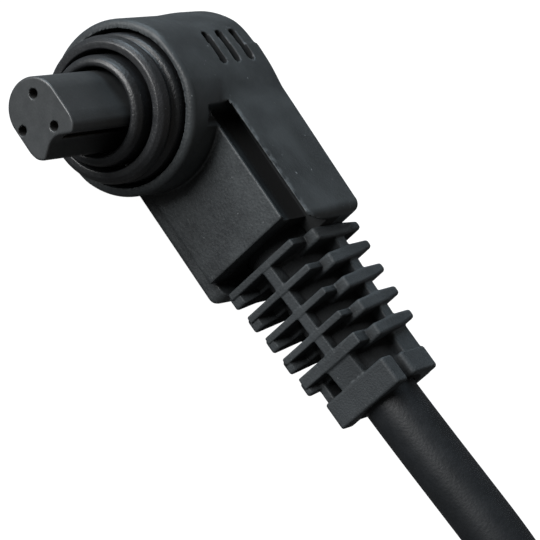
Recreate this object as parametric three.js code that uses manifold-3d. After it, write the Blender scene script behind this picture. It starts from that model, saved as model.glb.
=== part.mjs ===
// Remote shutter release for a still camera, in millimetres, +Z up: a right-angle locking plug lying
// on its side, its cord folded into a tied hank, and a handset with a two-stage button and a hold slider.
// The plug's nose points to -Y, the cord runs to +X, and everything rests on the plane Z = 0.
import * as THREE from "three";
import { mergeVertices } from "three/addons/utils/BufferGeometryUtils.js";
import Module from "manifold-3d";

const wasm = await Module();
wasm.setup();

// ---- Driving dimensions ----
const GAP = 0.3; // clearance kept between pieces that touch
const CORD = 4.33; // cord diameter
const SLIVER = 0.002; // finest detail that a cut may leave

const PLUG = {
  axisHeight: 6.4, // nose axis above the table, half the width of the body
  bossRadius: 6.45, // round boss at the front of the head
  bossFront: 3.3,
  bossBack: 10,
  headRadius: 6.65, // round back of the head
  backY: 14.2,
  bodyEndX: 14.6,
  halfWidthBack: 6.33, // half width of the back edge at the head
  halfWidthEdge: 5.4, // half width of the front edge, and of the back edge at the cord end
  sideFrontY: 7.3, // front edge of the side walls
  blockFrontY: 6.48, // front face of the raised block
  blockEndX: 13.35,
  blockHalfWidth: 4.1,
  grooveStartX: 3.86,
  grooveFloorY: 9.4,
  boreRadius: 4.32,
  boreEndY: 9.5,
  sleeveWellRadius: 5.75,
  sleeveWellY: 6.6,
  wireRoomRadius: 3,
  wireRoomY: 13,
  cordY: 11.3, // centre of the cord where it enters the body
};

const NOSE = { frontY: -6.07, halfWidth: 2.3, topX: -0.72, keyX: 2.6, keyFloorX: 2.05 };
const SOCKET_SPACING = 2.8;
const SOCKET_CENTRE = [-0.2, -0.14]; // X and Z of the middle of the three sockets
const SOCKET = { mouthRadius: 0.36, mouthDepth: 1.1, wellRadius: 0.95, radius: 0.62, endY: 9.9 };

const BOOT = {
  startX: 14.9,
  endX: 27.4,
  coreRadius: [3.0, 2.75],
  finX: [14.85, 17.0, 19.0, 21.0, 22.95],
  finThickness: [0.56, 0.56, 0.56, 0.56, 1.0],
  finHalf: [3.9, 3.68, 3.5, 3.46, 3.4],
  sideFinThickness: 0.9,
  firstSideFinX: 15.3,
  cornerGap: 1.3,
  spineWidth: 1.0,
  bandX: [25.2, 27.4],
  bandHalf: 2.95,
  drift: 0.035, // how far the boot bends towards +Y for each millimetre of length
};

const HANK = {
  nearX: 62, // centres of the end folds
  farX: 128,
  foldRadius: 10.83,
  centreY: 6.9,
  waistPull: 6.5,
  height: 12.6, // three layers
  topRunZ: 15.25, // the last run lies on the third layer
};
const TIE = { width: 8, thickness: 0.8 };

const HANDSET = {
  rearX: 166,
  centreY: 9.9,
  length: 88,
  width: 20,
  wall: 1.6,
  floor: 1.8,
  partingZ: 5.75,
  topZ: 12.6,
  ceilingZ: 11.1,
  rearCorner: 6,
  frontCorner: 9.6,
  buttonX: 63,
  sliderX: 44,
};
const SLIDER_TRAVEL = 5;

// ---- Materials ----
const finish = (color, roughness, metalness = 0) =>
  new THREE.MeshStandardMaterial({ color, roughness, metalness });
const BODY_PLASTIC = finish(0x2e3133, 0.55);
const NOSE_PLASTIC = finish(0x3b4042, 0.5);
const RING_PLASTIC = finish(0x202325, 0.35);
const BOOT_RUBBER = finish(0x26292b, 0.7);
const CORD_JACKET = finish(0x24272b, 0.65);
const HANDSET_PLASTIC = finish(0x2b2e30, 0.6);
const BUTTON_PLASTIC = finish(0x4a4f52, 0.45);
const CONTACT_BRASS = finish(0xb08d3c, 0.35, 1);
const SPRING_STEEL = finish(0x9aa0a6, 0.3, 1);
const INSULATOR = finish(0xd9d4c4, 0.6);
const TIE_NYLON = finish(0x1b1c1e, 0.8);
const WIRE_COLOURS = [finish(0xa02a22, 0.5), finish(0xd8d4cc, 0.5), finish(0xb8862c, 0.5)];

// ---- Solid helpers ----
const v3 = (x, y, z) => new THREE.Vector3(x, y, z);

function solidOf(geometry) {
  const bare = geometry.index ? geometry.toNonIndexed() : geometry.clone();
  bare.deleteAttribute("normal");
  bare.deleteAttribute("uv");
  const merged = mergeVertices(bare, 1e-4);
  return new wasm.Manifold(
    new wasm.Mesh({
      numProp: 3,
      vertProperties: new Float32Array(merged.attributes.position.array),
      triVerts: new Uint32Array(merged.index.array),
    }),
  );
}

// Slivers thinner than the tolerance are merged away, so that every piece stays one clean shell.
function geometryOf(solid) {
  const mesh = solid.simplify(SLIVER).getMesh();
  const geometry = new THREE.BufferGeometry();
  geometry.setAttribute("position", new THREE.BufferAttribute(mesh.vertProperties, 3));
  geometry.setIndex(new THREE.BufferAttribute(mesh.triVerts, 1));
  const flat = geometry.toNonIndexed();
  flat.computeVertexNormals();
  return flat;
}

// Joins the first list of geometries and cuts the second list away.
function carve(parts, cuts = []) {
  let solid = solidOf(parts[0]);
  for (const part of parts.slice(1)) solid = solid.add(solidOf(part));
  for (const cut of cuts) solid = solid.subtract(solidOf(cut));
  return geometryOf(solid);
}

function box(x0, x1, y0, y1, z0, z1) {
  const geometry = new THREE.BoxGeometry(x1 - x0, y1 - y0, z1 - z0);
  return geometry.translate((x0 + x1) / 2, (y0 + y1) / 2, (z0 + z1) / 2);
}

// A round bar from one point to another along an axis, with an end radius of its own if given.
function bar(from, to, radius, endRadius = radius, sides = 24) {
  const length = from.distanceTo(to);
  const geometry = new THREE.CylinderGeometry(endRadius, radius, length, sides);
  const turn = new THREE.Quaternion().setFromUnitVectors(v3(0, 1, 0), to.clone().sub(from).normalize());
  const middle = from.clone().add(to).multiplyScalar(0.5);
  return geometry.applyQuaternion(turn).translate(middle.x, middle.y, middle.z);
}

// A ring about the Y axis. The profile lists [radius, y] anticlockwise and closes on itself.
function ring(profile, sides = 48) {
  const points = [...profile, profile[0]].map(([radius, y]) => new THREE.Vector2(radius, y));
  return new THREE.LatheGeometry(points, sides);
}

// A flat outline in X and Y, raised from z0 to z1.
function raised(shape, z0, z1, bevel = 0, curveSegments = 10) {
  const geometry = new THREE.ExtrudeGeometry(shape, {
    depth: z1 - z0 - 2 * bevel,
    bevelEnabled: bevel > 0,
    bevelThickness: bevel,
    bevelSize: bevel,
    bevelOffset: -bevel,
    bevelSegments: 2,
    curveSegments,
  });
  return geometry.translate(0, 0, z0 + bevel);
}

// A round section swept along hand-placed points.
function tube(points, diameter, sides, steps) {
  const section = new THREE.Shape();
  for (let i = 0; i < sides; i += 1) {
    const angle = (2 * Math.PI * i) / sides;
    const corner = [(diameter / 2) * Math.cos(angle), (diameter / 2) * Math.sin(angle)];
    if (i === 0) section.moveTo(...corner);
    else section.lineTo(...corner);
  }
  const path = new THREE.CatmullRomCurve3(points.map((p) => v3(...p)), false, "centripetal");
  return new THREE.ExtrudeGeometry(section, { steps, bevelEnabled: false, extrudePath: path });
}

const model = new THREE.Group();
const plug = new THREE.Group();
plug.position.z = PLUG.axisHeight;
const cord = new THREE.Group();
const handset = new THREE.Group();
handset.position.set(HANDSET.rearX, HANDSET.centreY, 0);
model.add(plug, cord, handset);

function piece(group, name, geometry, material) {
  const mesh = new THREE.Mesh(geometry, material);
  mesh.name = name;
  group.add(mesh);
  return mesh;
}

// ---- Plug body: head, raised block, side groove, grip slots and the bores inside ----
function plugBody() {
  const p = PLUG;
  const along = (x, y0, y1, radius, sides) => bar(v3(x, y0, 0), v3(x, y1, 0), radius, radius, sides);
  const boss = along(0, p.bossFront, p.bossBack, p.bossRadius, 64);
  const head = along(0, p.bossBack - 0.5, p.backY - 0.5, p.headRadius, 64);
  const headBack = bar(v3(0, p.backY - 0.6, 0), v3(0, p.backY, 0), p.headRadius, p.headRadius - 0.5, 64);

  // The lower block narrows from the head to the cord end, and a little towards its front edge.
  const lower = new THREE.BoxGeometry(p.bodyEndX, p.backY - p.sideFrontY, 2);
  lower.translate(p.bodyEndX / 2, (p.backY + p.sideFrontY) / 2, 0);
  const at = lower.attributes.position;
  for (let i = 0; i < at.count; i += 1) {
    const wide = at.getX(i) < 1 && at.getY(i) > p.backY - 1;
    at.setZ(i, Math.sign(at.getZ(i)) * (wide ? p.halfWidthBack : p.halfWidthEdge));
  }
  const block = box(0, p.blockEndX, p.blockFrontY, p.backY - 1, -p.blockHalfWidth, p.blockHalfWidth);

  // The groove's outer slope leaves a lip on the side wall.
  const groove = new THREE.Shape();
  groove.moveTo(p.sideFrontY - 2, p.blockHalfWidth);
  groove.lineTo(p.sideFrontY - 2, p.halfWidthEdge + 1);
  groove.lineTo(p.sideFrontY, p.halfWidthEdge - 0.1);
  groove.lineTo(p.grooveFloorY, p.blockHalfWidth + 0.25);
  groove.lineTo(p.grooveFloorY, p.blockHalfWidth);
  const grooveCut = raised(groove, p.grooveStartX, p.bodyEndX + 1);
  grooveCut.applyMatrix4(new THREE.Matrix4().makeBasis(v3(0, 1, 0), v3(0, 0, 1), v3(1, 0, 0)));
  const half = p.blockHalfWidth;
  const underBlock = box(p.blockEndX, p.bodyEndX + 1, 5, p.grooveFloorY, -half, half + 0.3);

  const slots = [8.75, 10.45, 12.2].map((y) => box(-1.8, 1.1, y - 0.34, y + 0.34, p.axisHeight - 0.6, 8));
  const sides = [-1, 1].map((side) => box(-9, 9, 0, 16, ...[6.4 * side, 9 * side].sort((a, b) => a - b)));
  const cordBore = bar(v3(-3, p.cordY, 0), v3(p.bodyEndX + 1, p.cordY, 0), 3.05);
  return carve(
    [boss, head, headBack, lower, block],
    [
      ...sides,
      grooveCut,
      underBlock,
      ...slots,
      along(0, 0, p.sleeveWellY, p.sleeveWellRadius, 48),
      along(0, 0, p.boreEndY, p.boreRadius, 48),
      along(0, 0, p.wireRoomY, p.wireRoomRadius, 32),
      cordBore,
    ],
  );
}
piece(plug, "plug_body", plugBody(), BODY_PLASTIC);

// ---- Nose: keyed insulator with three sockets ----
const socketPlaces = [149, 29, -91].map((degrees) => {
  const angle = THREE.MathUtils.degToRad(degrees);
  const reach = SOCKET_SPACING / Math.sqrt(3);
  return [SOCKET_CENTRE[0] + reach * Math.cos(angle), SOCKET_CENTRE[1] + reach * Math.sin(angle)];
});

function noseInsulator() {
  const n = NOSE;
  const outline = new THREE.Shape();
  outline.moveTo(1.75, -n.halfWidth);
  outline.lineTo(2.35, -1.95);
  outline.lineTo(n.keyX, -1.4);
  outline.lineTo(n.keyFloorX, -0.45);
  outline.lineTo(n.keyFloorX, 0.45);
  outline.lineTo(n.keyX, 1.4);
  outline.lineTo(2.35, 1.95);
  outline.lineTo(1.75, n.halfWidth);
  outline.lineTo(n.topX, n.halfWidth);
  outline.absarc(n.topX, 0, n.halfWidth, Math.PI / 2, (3 * Math.PI) / 2, false);
  const baseY = 8;
  const nose = raised(outline, 0, baseY + 0.5 - n.frontY);
  nose.rotateX(Math.PI / 2).translate(0, baseY + 0.5, 0);
  const base = bar(v3(0, baseY, 0), v3(0, baseY + 1.2, 0), 4, 4, 40);
  const holes = socketPlaces.flatMap(([x, z]) => [
    bar(v3(x, n.frontY - 1, z), v3(x, 2, z), SOCKET.mouthRadius, SOCKET.mouthRadius, 20),
    bar(v3(x, n.frontY + SOCKET.mouthDepth, z), v3(x, 11, z), SOCKET.wellRadius, SOCKET.wellRadius, 16),
  ]);
  return carve([nose, base], holes);
}
piece(plug, "nose_insulator", noseInsulator(), NOSE_PLASTIC);

socketPlaces.forEach(([x, z], index) => {
  const front = NOSE.frontY + SOCKET.mouthDepth + GAP;
  const outside = bar(v3(x, front, z), v3(x, SOCKET.endY, z), SOCKET.radius, SOCKET.radius, 16);
  const inside = bar(v3(x, front - 1, z), v3(x, 4, z), 0.36, 0.36, 12);
  piece(plug, `contact_socket_${index + 1}`, carve([outside], [inside]), CONTACT_BRASS);
});

// ---- Rings round the nose ----
const lipProfile = [
  [3.37, 7.6],
  [3.37, 0.25],
  [3.6, 0],
  [3.75, 0.05],
  [4.02, 0.73],
  [4.02, 7.6],
];
piece(plug, "collar_lip", ring(lipProfile), RING_PLASTIC);

const sleeveProfile = [
  [4.35, 1.5],
  [4.55, 1.2],
  [4.85, 1.25],
  [5.2, 1.6],
  [5.38, 2.1],
  [5.02, 2.2],
  [5.02, 2.6],
  [5.36, 2.72],
  [5.42, 3.2],
  [5.42, 4.3],
  [4.35, 4.3],
];
piece(plug, "lock_sleeve", ring(sleeveProfile), RING_PLASTIC);
piece(
  plug,
  "sleeve_spring",
  ring([
    [4.6, 4.6],
    [5.3, 4.6],
    [5.3, 6.3],
    [4.6, 6.3],
  ]),
  SPRING_STEEL,
);

// ---- Strain-relief boot: fins on four faces, a spine down each face and an end band ----
function boot() {
  const b = BOOT;
  const centreY = (x) => PLUG.cordY + b.drift * (x - b.startX);
  const coreStart = v3(b.startX, centreY(b.startX), 0);
  const coreEnd = v3(b.endX - 0.4, centreY(b.endX), 0);
  const core = bar(coreStart, coreEnd, ...b.coreRadius);
  const parts = [core];
  b.finX.forEach((x, level) => {
    const half = b.finHalf[level];
    const thick = b.finThickness[level] / 2;
    const y = centreY(x);
    const inner = 1.6;
    const front = y - half + b.cornerGap;
    const sideX = level === 0 ? b.firstSideFinX : x;
    const side = Math.max(b.sideFinThickness, b.finThickness[level]) / 2;
    parts.push(box(x - thick, x + thick, y - half, y - inner, -half, half));
    parts.push(box(sideX - side, sideX + side, y + inner, y + half, -half, half));
    parts.push(box(sideX - side, sideX + side, front, y + half - 0.3, inner, half));
    parts.push(box(sideX - side, sideX + side, front, y + half - 0.3, -half, -inner));
  });
  const [bandStart, bandEnd] = b.bandX;
  const bandY = centreY(bandEnd) + 0.1;
  parts.push(box(bandStart, bandEnd, bandY - b.bandHalf, bandY + b.bandHalf, -b.bandHalf, b.bandHalf));
  for (let face = 0; face < 4; face += 1) {
    const start = face === 0 ? b.finX[0] : b.startX;
    const spine = box(start, bandStart + 0.5, -b.spineWidth / 2, b.spineWidth / 2, 1.5, 3.9);
    const at = spine.attributes.position;
    for (let i = 0; i < at.count; i += 1) {
      if (at.getX(i) > bandStart && at.getZ(i) > 2) at.setZ(i, 3.1);
    }
    spine.rotateX((Math.PI / 2) * (face + 1));
    spine.translate(0, centreY(20), 0);
    parts.push(spine);
  }
  // What reaches past the body's end is the front fin and its spine, clear of the body.
  const start = b.startX;
  const bodyEdge = box(10, start, PLUG.grooveFloorY - GAP, 20, -6, 6);
  const bore = bar(v3(0, PLUG.cordY, 0), v3(30, centreY(27.4), 0), CORD / 2 + GAP, CORD / 2 + GAP, 24);
  return carve(parts, [bodyEdge, bore]);
}
piece(plug, "strain_relief_boot", boot(), BOOT_RUBBER);

// ---- Inside the plug: crimped ferrule and the three wires to the sockets ----
const ferruleX = [10.2, 13.4];
piece(
  plug,
  "cord_ferrule",
  ring([
    [2.42, ferruleX[0]],
    [2.75, ferruleX[0]],
    [2.75, ferruleX[1]],
    [2.42, ferruleX[1]],
  ], 24).rotateZ(-Math.PI / 2).translate(0, PLUG.cordY, 0),
  SPRING_STEEL,
);
const wireStarts = [
  [0.95, 0.5],
  [-0.95, 0.5],
  [0, -0.95],
];
socketPlaces.forEach(([x, z], index) => {
  const [offsetY, offsetZ] = wireStarts[index];
  const route = [
    [8.4, PLUG.cordY + offsetY * 0.9, offsetZ],
    [6, PLUG.cordY + offsetY, offsetZ],
    [(x + 6) / 2, PLUG.cordY + offsetY, (z + offsetZ) / 2],
    [x + 0.5, PLUG.cordY + offsetY * 0.6, z],
    [x, SOCKET.endY + 0.35, z],
  ];
  piece(plug, `plug_wire_${index + 1}`, tube(route, 0.7, 8, 12), WIRE_COLOURS[index]);
});

// ---- Cord: from the plug to the hank, the hank, its tie, and on to the handset ----
const plugRoute = [
  [9, 11.3, 6.4],
  [14.9, 11.3, 6.4],
  [21, 11.42, 6.4],
  [27.4, 11.72, 6.4],
  [32, 12.14, 6.4],
  [36, 12.62, 6.38],
  [40, 13.16, 6.3],
  [43.5, 13.8, 5.95],
  [47, 14.75, 5.2],
  [50.4, 15.75, 4],
];
piece(cord, "cord_run_plug", tube(plugRoute, CORD, 8, 22), CORD_JACKET);

const hankLength = HANK.farX - HANK.nearX;
const hankMiddle = (HANK.nearX + HANK.farX) / 2;
const outerHalf = HANK.foldRadius + CORD / 2;
// How far the tie pulls the runs together at a given X.
const pull = (x) => HANK.waistPull * Math.sin((Math.PI * (x - HANK.nearX)) / hankLength) ** 2;

function hankSolid() {
  const outline = new THREE.Shape();
  outline.absarc(HANK.farX, HANK.centreY, outerHalf, -Math.PI / 2, Math.PI / 2, false);
  const waistSteps = 12;
  for (let i = 1; i < waistSteps; i += 1) {
    const x = HANK.farX - (hankLength * i) / waistSteps;
    outline.lineTo(x, HANK.centreY + outerHalf - pull(x));
  }
  outline.absarc(HANK.nearX, HANK.centreY, outerHalf, Math.PI / 2, (3 * Math.PI) / 2, false);
  for (let i = 1; i < waistSteps; i += 1) {
    const x = HANK.nearX + (hankLength * i) / waistSteps;
    outline.lineTo(x, HANK.centreY - outerHalf + pull(x));
  }
  // The last run comes up from a near fold, dips into the waist and leaves at the far end.
  const edgeY = HANK.centreY + HANK.foldRadius;
  const halfRun = [
    [hankLength / 2, edgeY, HANK.topRunZ],
    [25, edgeY - 0.4, 14.9],
    [17, edgeY - 3.6, 13.8],
    [9, HANK.centreY + 1, 10],
  ];
  const topRun = (side) =>
    tube(halfRun.map(([reach, y, z]) => [hankMiddle + side * reach, y, z]), CORD, 8, 8);
  const rise = tube(
    [
      [51.4, 8.5, 13],
      [53.6, 13.2, 14.5],
      [57.6, 16.7, 15.2],
      [HANK.nearX, edgeY, HANK.topRunZ],
      [HANK.nearX + 0.5, edgeY, HANK.topRunZ],
    ],
    CORD,
    8,
    8,
  );
  const reach = TIE.width / 2 + GAP;
  const tieRoom = 0.15 + TIE.thickness + GAP;
  const underTie = box(hankMiddle - reach, hankMiddle + reach, -30, 40, -1, tieRoom);
  return carve([raised(outline, 0.05, HANK.height), rise, topRun(-1), topRun(1)], [underTie]);
}
piece(cord, "cord_hank", hankSolid(), CORD_JACKET);

function hankTie() {
  const insideHalf = outerHalf - HANK.waistPull + 0.25 + GAP;
  const reach = TIE.width / 2;
  const low = 0.1;
  const top = HANK.height + GAP;
  const band = (halfWidth, halfReach, z0, z1) =>
    box(
      hankMiddle - halfReach,
      hankMiddle + halfReach,
      HANK.centreY - halfWidth,
      HANK.centreY + halfWidth,
      z0,
      z1,
    );
  const outside = band(insideHalf + TIE.thickness, reach, low, top + TIE.thickness);
  const inside = band(insideHalf, reach + 5, low + TIE.thickness, top);
  return carve([outside], [inside]);
}
piece(cord, "hank_tie", hankTie(), TIE_NYLON);

const handsetRoute = [
  [128.3, 17.73, 15.25],
  [132, 17.7, 15.2],
  [137, 17.35, 14.8],
  [141.5, 16, 13.1],
  [145.5, 14, 10.6],
  [149.5, 11.9, 8.1],
  [153, 10.5, 6.6],
  [156.5, 9.95, 5.9],
  [160, 9.9, 5.75],
  [174.5, 9.9, 5.75],
];
piece(cord, "cord_run_handset", tube(handsetRoute, CORD, 8, 18), CORD_JACKET);

// ---- Handset shells ----
// The plan outline of the handset, drawn in by an inset.
function planOutline(inset) {
  const h = HANDSET;
  const x0 = inset;
  const x1 = h.length - inset;
  const half = h.width / 2 - inset;
  const rear = h.rearCorner - inset;
  const front = h.frontCorner - inset;
  const shape = new THREE.Shape();
  shape.moveTo(x0 + rear, -half);
  shape.lineTo(x1 - front, -half);
  shape.absarc(x1 - front, -half + front, front, -Math.PI / 2, 0, false);
  shape.lineTo(x1, half - front);
  shape.absarc(x1 - front, half - front, front, 0, Math.PI / 2, false);
  shape.lineTo(x0 + rear, half);
  shape.absarc(x0 + rear, half - rear, rear, Math.PI / 2, Math.PI, false);
  shape.lineTo(x0, -half + rear);
  shape.absarc(x0 + rear, -half + rear, rear, Math.PI, 1.5 * Math.PI, false);
  return shape;
}

const upright = (x, y, z0, z1, radius, sides = 20) => bar(v3(x, y, z0), v3(x, y, z1), radius, radius, sides);
const caseScrews = [
  [12, -6],
  [12, 6],
  [78, -5.6],
  [78, 5.6],
];
const clampScrews = [
  [6.5, -4.3],
  [6.5, 4.3],
];
const blockScrews = [
  [50, -3],
  [50, 3],
];
const cordPassage = bar(v3(-2, 0, HANDSET.partingZ), v3(4, 0, HANDSET.partingZ), 3.3, 3.3, 28);

function handsetBase() {
  const h = HANDSET;
  const top = h.partingZ - GAP / 2;
  const shell = raised(planOutline(0), 0, top + 1, 0.8);
  const trim = box(-1, h.length + 1, -20, 20, top, 20);
  const cavity = raised(planOutline(h.wall), h.floor, 20);
  const shellSolid = carve([shell], [trim, cavity]);
  const posts = caseScrews.map(([x, y]) => upright(x, y, 0.5, top - 0.2, 2.3));
  const clampPosts = clampScrews.map(([x, y]) => upright(x, y, 1, 4.6, 1.2));
  const blockPosts = blockScrews.map(([x, y]) => upright(x, y, 1, 2.7, 1.1));
  const cuts = [
    ...caseScrews.flatMap(([x, y]) => [upright(x, y, -1, 20, 1), upright(x, y, -1, 2, 2.1)]),
    ...clampScrews.map(([x, y]) => upright(x, y, 2, 20, 0.8)),
    ...blockScrews.map(([x, y]) => upright(x, y, 1.2, 20, 0.8)),
    cordPassage,
  ];
  return carve([shellSolid, ...posts, ...clampPosts, ...blockPosts], cuts);
}
piece(handset, "handset_base", handsetBase(), HANDSET_PLASTIC);

function handsetCover() {
  const h = HANDSET;
  const bottom = h.partingZ + GAP / 2;
  const shell = raised(planOutline(0), bottom - 2, h.topZ, 1.2);
  const trim = box(-1, h.length + 1, -20, 20, -20, bottom);
  const cavity = raised(planOutline(h.wall), -1, h.ceilingZ);
  const shellSolid = carve([shell], [trim, cavity]);
  const posts = caseScrews.map(([x, y]) => upright(x, y, bottom + 0.2, h.ceilingZ + 0.5, 2));
  const cuts = [
    ...caseScrews.map(([x, y]) => upright(x, y, 0, 9.6, 0.95)),
    upright(h.buttonX, 0, 5, 20, 6.3, 40),
    box(h.sliderX - 2.4, h.sliderX + 2.4 + SLIDER_TRAVEL, -1.8, 1.8, 8, 20),
    cordPassage,
  ];
  return carve([shellSolid, ...posts], cuts);
}
piece(handset, "handset_cover", handsetCover(), HANDSET_PLASTIC);

// ---- Shutter button and hold slider ----
function shutterButton() {
  const x = HANDSET.buttonX;
  const cap = upright(x, 0, 10, 13.4, 6, 40);
  const crown = bar(v3(x, 0, 13.4), v3(x, 0, 14), 6, 5.2, 40);
  const flange = upright(x, 0, 9.7, 10.7, 7.2, 40);
  const stem = upright(x, 0, 7, 10, 1.6);
  return carve([cap, crown, flange, stem]);
}
piece(handset, "shutter_button", shutterButton(), BUTTON_PLASTIC);

function holdSlider() {
  const x = HANDSET.sliderX;
  const knob = box(x - 6, x + 6, -4, 4, HANDSET.topZ + GAP, 14.2);
  const neck = box(x - 2, x + 2, -1.5, 1.5, 10, 13);
  const plate = box(x - 6, x + 3, -4, 4, 8.6, 10.8);
  const tongue = box(x, x + 7.5, -2.5, 2.5, 8.6, 9.6);
  const ridgeXs = [-4, -2, 0, 2, 4].map((offset) => x + offset);
  const ridges = ridgeXs.map((at) => box(at - 0.35, at + 0.35, -3, 3, 14, 14.7));
  return carve([knob, neck, plate, tongue, ...ridges]);
}
piece(handset, "hold_slider", holdSlider(), BUTTON_PLASTIC);

// ---- Switch: block, three contact leaves and their wires ----
const leafHeights = { common_leaf: 6.5, focus_leaf: 5.3, shutter_leaf: 4.1 };
const leafThickness = 0.3;
const leafSlot = 0.35;

function switchBlock() {
  const block = box(46, 54, -4.2, 4.2, 3, 7.2);
  const slots = Object.values(leafHeights).map((z) => box(40, 60, -1.75, 1.75, z - leafSlot, z + leafSlot));
  const holes = blockScrews.map(([x, y]) => upright(x, y, 0, 20, 0.8));
  return carve([block], [...slots, ...holes]);
}
piece(handset, "switch_block", switchBlock(), INSULATOR);

const leafReach = { common_leaf: 65.5, focus_leaf: 64.5, shutter_leaf: 63.5 };
Object.entries(leafHeights).forEach(([name, z], index) => {
  const half = leafThickness / 2;
  piece(handset, name, box(42.6, leafReach[name], -1.5, 1.5, z - half, z + half), CONTACT_BRASS);
  const wireY = (index - 1) * 1.4;
  const route = [
    [8.8, wireY * 0.7, HANDSET.partingZ],
    [14, wireY * 0.9, HANDSET.partingZ],
    [24, wireY, 5],
    [34, wireY, z - 0.2],
    [42.2, wireY * 0.6, z],
  ];
  piece(handset, `handset_wire_${index + 1}`, tube(route, 0.7, 8, 14), WIRE_COLOURS[index]);
});

// ---- Cord entry: grommet and clamp ----
function grommet() {
  const z = HANDSET.partingZ;
  const sleeve = bar(v3(-8, 0, z), v3(-GAP, 0, z), 2.95, 3.9, 28);
  const neck = bar(v3(-1, 0, z), v3(2.4, 0, z), 3, 3, 28);
  const flange = bar(v3(1.9, 0, z), v3(3, 0, z), 3.7, 3.7, 28);
  const bore = bar(v3(-10, 0, z), v3(6, 0, z), CORD / 2 + GAP, CORD / 2 + GAP, 24);
  return carve([sleeve, neck, flange], [bore]);
}
piece(handset, "cord_grommet", grommet(), BOOT_RUBBER);

function cordClamp() {
  const saddle = box(5, 8, -5.6, 5.6, 5, 8.6);
  const boreRadius = CORD / 2 + GAP;
  const bore = bar(v3(4, 0, HANDSET.partingZ), v3(9, 0, HANDSET.partingZ), boreRadius, boreRadius, 24);
  const under = box(4, 9, -2.465, 2.465, 4, HANDSET.partingZ);
  const holes = clampScrews.map(([x, y]) => upright(x, y, 0, 20, 0.8));
  return carve([saddle], [bore, under, ...holes]);
}
piece(handset, "cord_clamp", cordClamp(), SPRING_STEEL);

// ---- Screws: a head with a cross recess on a plain shank ----
function screw(x, y, headZ, tipZ, headRadius, shankRadius, headHeight = 1.2) {
  const down = Math.sign(tipZ - headZ);
  const seat = headZ + down * headHeight;
  const low = (a, b) => [Math.min(a, b), Math.max(a, b)];
  const head = upright(x, y, ...low(headZ, seat), headRadius, 24);
  const shank = upright(x, y, ...low(seat - down * 0.3, tipZ), shankRadius, 12);
  const deep = low(headZ - down, headZ + down * 0.6);
  const arm = headRadius * 0.6;
  const slot = headRadius * 0.14;
  const across = box(x - arm, x + arm, y - slot, y + slot, ...deep);
  const along = box(x - slot, x + slot, y - arm, y + arm, ...deep);
  const cross = [across, along];
  return carve([head, shank], cross);
}
caseScrews.forEach(([x, y], i) => {
  piece(handset, `case_screw_${i + 1}`, screw(x, y, 0.5, 9.2, 1.8, 0.65), SPRING_STEEL);
});
clampScrews.forEach(([x, y], i) => {
  piece(handset, `clamp_screw_${i + 1}`, screw(x, y, 10.1, 2.3, 1.1, 0.5), SPRING_STEEL);
});
blockScrews.forEach(([x, y], i) => {
  piece(handset, `block_screw_${i + 1}`, screw(x, y, 8.3, 1.5, 1.1, 0.5, 0.8), SPRING_STEEL);
});

// ---- Origin: the middle of the plug and handset, on the table ----
model.updateMatrixWorld(true);
const bounds = new THREE.Box3();
for (const group of [plug, handset]) bounds.union(new THREE.Box3().setFromObject(group, true));
const centre = bounds.getCenter(v3(0, 0, 0));
model.position.set(-centre.x, -centre.y, -bounds.min.z);

export default model;
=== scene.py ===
"""The looks of a camera's cable shutter release: a right-angle plug, its cord and its handset.

Layout frame, in millimetres: X along the cord, Y from the plug's nose backwards, Z up from the table,
with X = Y = 0 on the nose axis at the lip's front. place() turns it into the row frame, in metres.
"""

import math
from functools import reduce

import bpy
import numpy as np
from mathutils import Matrix, Vector


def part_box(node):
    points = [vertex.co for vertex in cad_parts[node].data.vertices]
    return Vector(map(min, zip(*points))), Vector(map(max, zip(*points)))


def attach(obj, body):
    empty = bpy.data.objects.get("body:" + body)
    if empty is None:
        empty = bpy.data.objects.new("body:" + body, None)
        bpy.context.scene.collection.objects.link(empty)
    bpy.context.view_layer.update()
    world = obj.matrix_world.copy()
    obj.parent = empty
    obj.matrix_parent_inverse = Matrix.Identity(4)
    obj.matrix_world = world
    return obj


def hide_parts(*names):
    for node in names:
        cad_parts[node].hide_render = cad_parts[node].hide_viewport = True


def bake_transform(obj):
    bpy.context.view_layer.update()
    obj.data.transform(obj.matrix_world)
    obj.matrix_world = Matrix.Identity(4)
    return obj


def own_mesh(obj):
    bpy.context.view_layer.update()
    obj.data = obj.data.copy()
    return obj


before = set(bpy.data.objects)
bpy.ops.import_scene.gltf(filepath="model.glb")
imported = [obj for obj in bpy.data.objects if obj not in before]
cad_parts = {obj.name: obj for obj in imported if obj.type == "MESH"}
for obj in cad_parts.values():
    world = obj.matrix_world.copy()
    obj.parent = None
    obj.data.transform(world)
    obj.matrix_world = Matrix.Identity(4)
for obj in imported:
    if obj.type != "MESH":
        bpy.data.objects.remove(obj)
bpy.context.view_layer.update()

MM = 0.001
lip_low, lip_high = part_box("collar_lip")
AXIS_Z = (lip_low.z + lip_high.z) / 2 / MM  # height of the nose axis
ORIGIN = np.array([(lip_low.x + lip_high.x) / 2, lip_low.y, 0])
base_low, base_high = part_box("handset_base")
HANDSET_X = (base_low.x - ORIGIN[0]) / MM
HANDSET_Y = ((base_low.y + base_high.y) / 2 - ORIGIN[1]) / MM
PLUG_AT = (0, 0, AXIS_Z)
HANDSET_AT = (HANDSET_X, HANDSET_Y, 0)


def place(points, at=(0, 0, 0)):
    """Points in millimetres from a place in the layout, as points of the row frame in metres."""
    return ORIGIN + (np.asarray(points, float) + np.asarray(at, float)) * MM


def link(obj, body, nodes=()):
    """Puts a new piece in the scene, riding on a body and standing for CAD nodes."""
    bpy.context.scene.collection.objects.link(obj)
    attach(obj, body)
    if nodes:
        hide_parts(*nodes)
    return obj


# ---- Camera ----
CAMERA_AT = (58.51, -141.36, 97.27)
CAMERA_RIGHT = Vector((0.5461, 0.5456, 0.6357)).normalized()
CAMERA_FORWARD = Vector((-0.2407, 0.829, -0.5048)).normalized()
LENS = 166.67


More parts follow.
